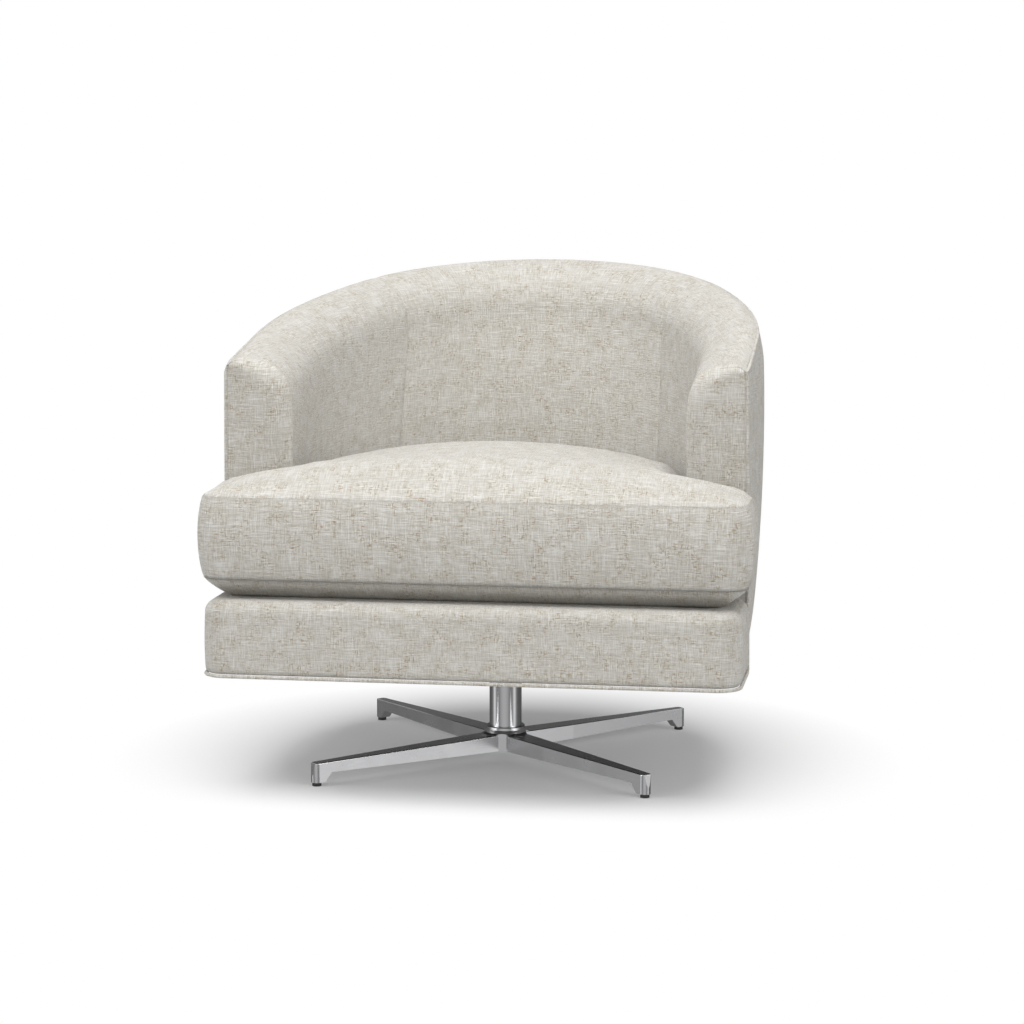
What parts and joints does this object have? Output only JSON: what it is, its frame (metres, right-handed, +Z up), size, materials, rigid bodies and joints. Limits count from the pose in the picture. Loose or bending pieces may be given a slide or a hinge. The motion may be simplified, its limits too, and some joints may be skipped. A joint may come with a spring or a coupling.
{
  "type": "swivel lounge chair",
  "caption": "Upholstered barrel lounge chair with a loose seat cushion, turning freely on a column and a low four-arm metal star base.",
  "frame": {"origin": "on the floor, on the swivel axis, where the axis of the column meets the plane of the four glides", "axes": "+Z up along the swivel axis, the front of the seat faces -Y, +X is the sitter's left as they face -Y"},
  "size_m": [0.772, 0.824, 0.7117],
  "materials": {
    "upholstery": "light oatmeal linen-look weave with fine brown flecks",
    "deck_cloth": "plain matte deck cloth",
    "foam": "open-cell cushion foam",
    "dust_cloth": "thin black non-woven cloth",
    "webbing": "woven elastic webbing",
    "liner_board": "thin fibre board",
    "frame_wood": "bare plywood and hardwood",
    "brushed_aluminium": "satin polished cast aluminium",
    "polished_steel": "polished steel",
    "black_steel": "black powder coat",
    "black_rubber": "black moulded glide",
    "bearing_plastic": "natural acetal"
  },
  "bodies": {
    "base": {"star_base": "brushed_aluminium", "glides": "black_rubber", "column_tube": "polished_steel", "base_bolt": "polished_steel", "spindle_bushes": "bearing_plastic"},
    "seat": {"arm_front_board_left": "frame_wood", "arm_front_board_right": "frame_wood", "arm_front_pad_left": "upholstery", "arm_front_pad_right": "upholstery", "arm_liner_left": "liner_board", "arm_liner_right": "liner_board", "arm_welt_left": "upholstery", "arm_welt_right": "upholstery", "back_liner": "liner_board", "back_post_centre": "frame_wood", "back_post_left": "frame_wood", "back_post_right": "frame_wood", "barrel_rail": "frame_wood", "bottom_welt": "upholstery", "corner_blocks": "frame_wood", "cross_rails": "frame_wood", "deck_pad": "deck_cloth", "dust_cover": "dust_cloth", "front_border": "upholstery", "front_rail": "frame_wood", "front_return_left": "frame_wood", "front_return_right": "frame_wood", "inside_arm_pad_left": "upholstery", "inside_arm_pad_right": "upholstery", "inside_back_pad": "upholstery", "outside_cover": "upholstery", "plate_bolts": "polished_steel", "plate_nuts": "polished_steel", "retaining_ring": "polished_steel", "rim_welt": "upholstery", "seat_board": "frame_wood", "seat_webbing": "webbing", "side_post_left": "frame_wood", "side_post_right": "frame_wood", "swivel_plate": "black_steel", "swivel_spindle": "polished_steel", "thrust_washer": "bearing_plastic", "top_rail": "frame_wood"},
    "cushion": {"cushion_cover": "upholstery", "cushion_core": "foam"}
  },
  "joints": [
    {"name": "swivel", "type": "hinge", "parent": "base", "child": "seat", "pos_m": [0, 0, 0], "axis": [0, 0, 1], "continuous": true},
    {"name": "cushion_lift", "type": "slide", "parent": "seat", "child": "cushion", "axis": [0, 0, 1], "range_m": [0, 0.3]}
  ]
}
